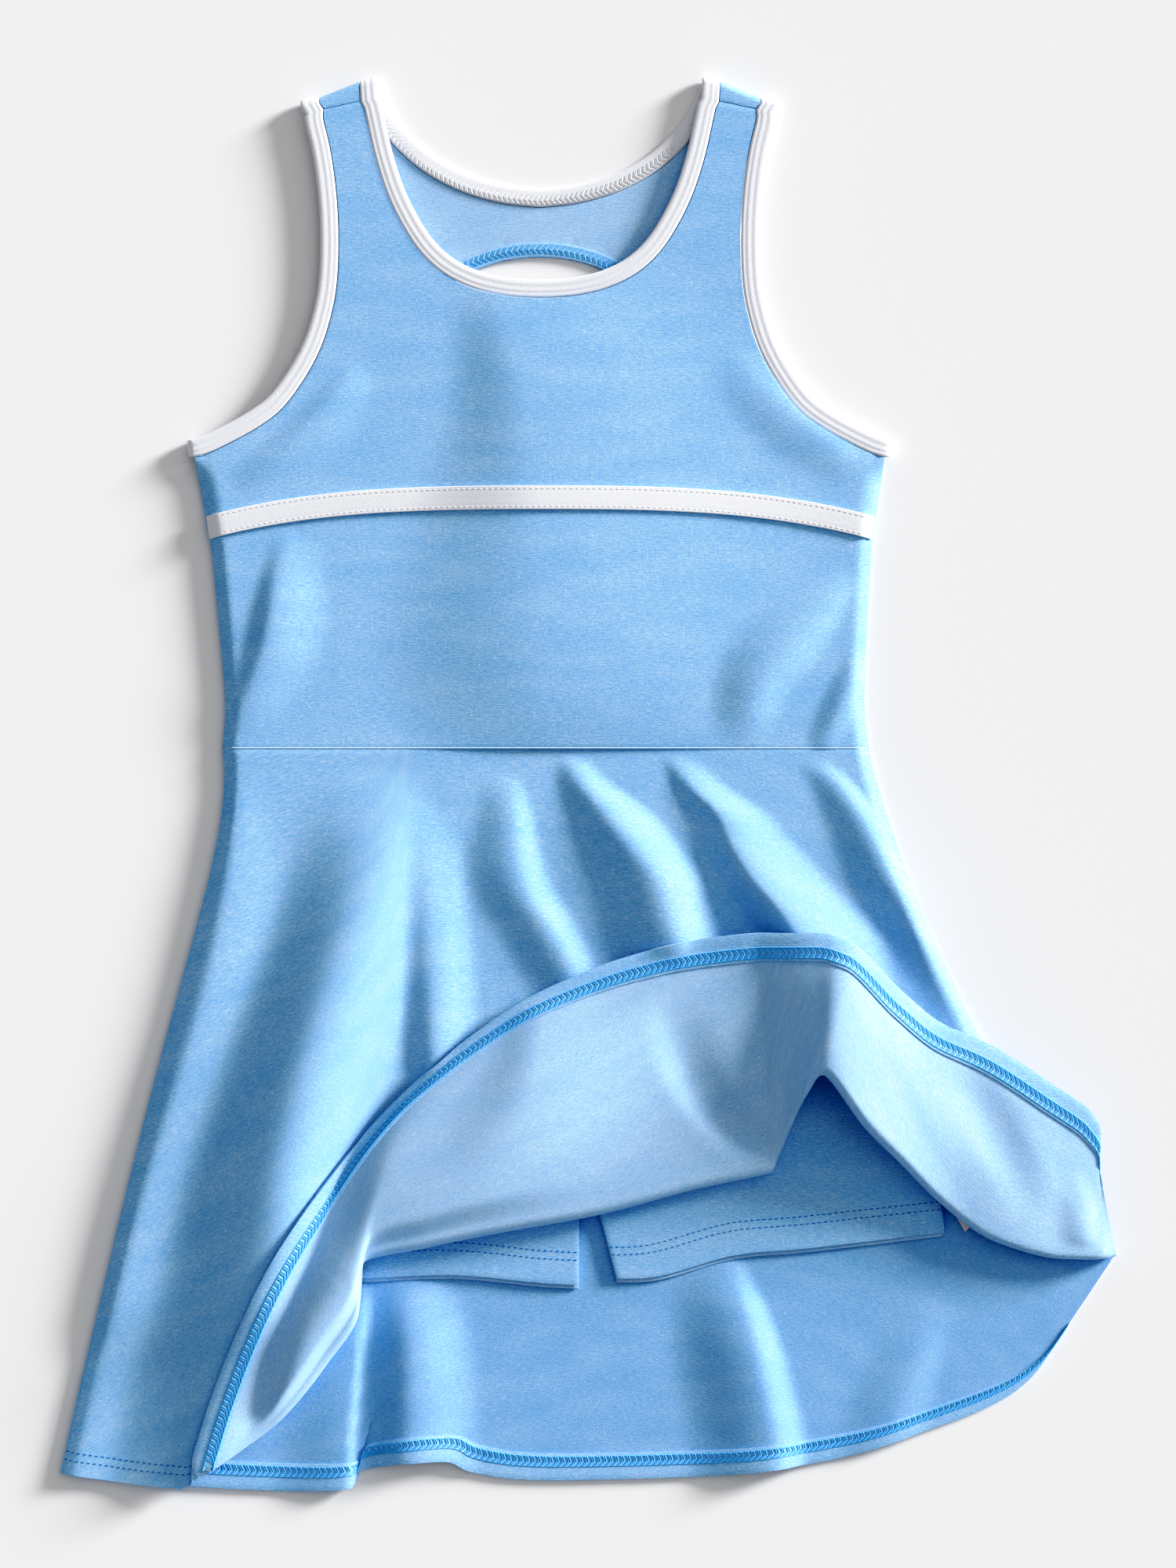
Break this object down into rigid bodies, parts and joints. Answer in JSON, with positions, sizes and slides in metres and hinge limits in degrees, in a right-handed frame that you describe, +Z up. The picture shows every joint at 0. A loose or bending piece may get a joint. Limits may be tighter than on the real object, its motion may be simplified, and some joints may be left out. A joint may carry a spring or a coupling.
{
  "type": "athletic dress",
  "caption": "Child's sleeveless jersey athletic dress with racer armholes, chest tape, flared skirt and built-in shorts, laid flat with the front hem turned up",
  "frame": {"origin": "on the table, under the middle of the dress's bounding box", "axes": "+X runs to the right across the dress as seen from above, +Y from the hem to the neck, +Z up off the table"},
  "size_m": [0.4438, 0.5944, 0.0277],
  "materials": {
    "heather_blue_jersey": "heathered knit, matt right side",
    "jersey_wrong_side": "heathered knit, paler wrong side",
    "pale_binding": "smooth stretch binding, slight sheen",
    "label_satin": "woven satin"
  },
  "bodies": {
    "root": {"bodice_front_upper": "heather_blue_jersey", "bodice_front_lower": "heather_blue_jersey", "bodice_back": "heather_blue_jersey", "neck_binding": "pale_binding", "armhole_binding_left": "pale_binding", "armhole_binding_right": "pale_binding", "chest_tape": "pale_binding", "skirt_front": "heather_blue_jersey", "skirt_back": "heather_blue_jersey", "shorts_front_left": "jersey_wrong_side", "shorts_back_left": "jersey_wrong_side", "shorts_front_right": "jersey_wrong_side", "shorts_back_right": "jersey_wrong_side", "care_label": "label_satin"}
  },
  "joints": []
}
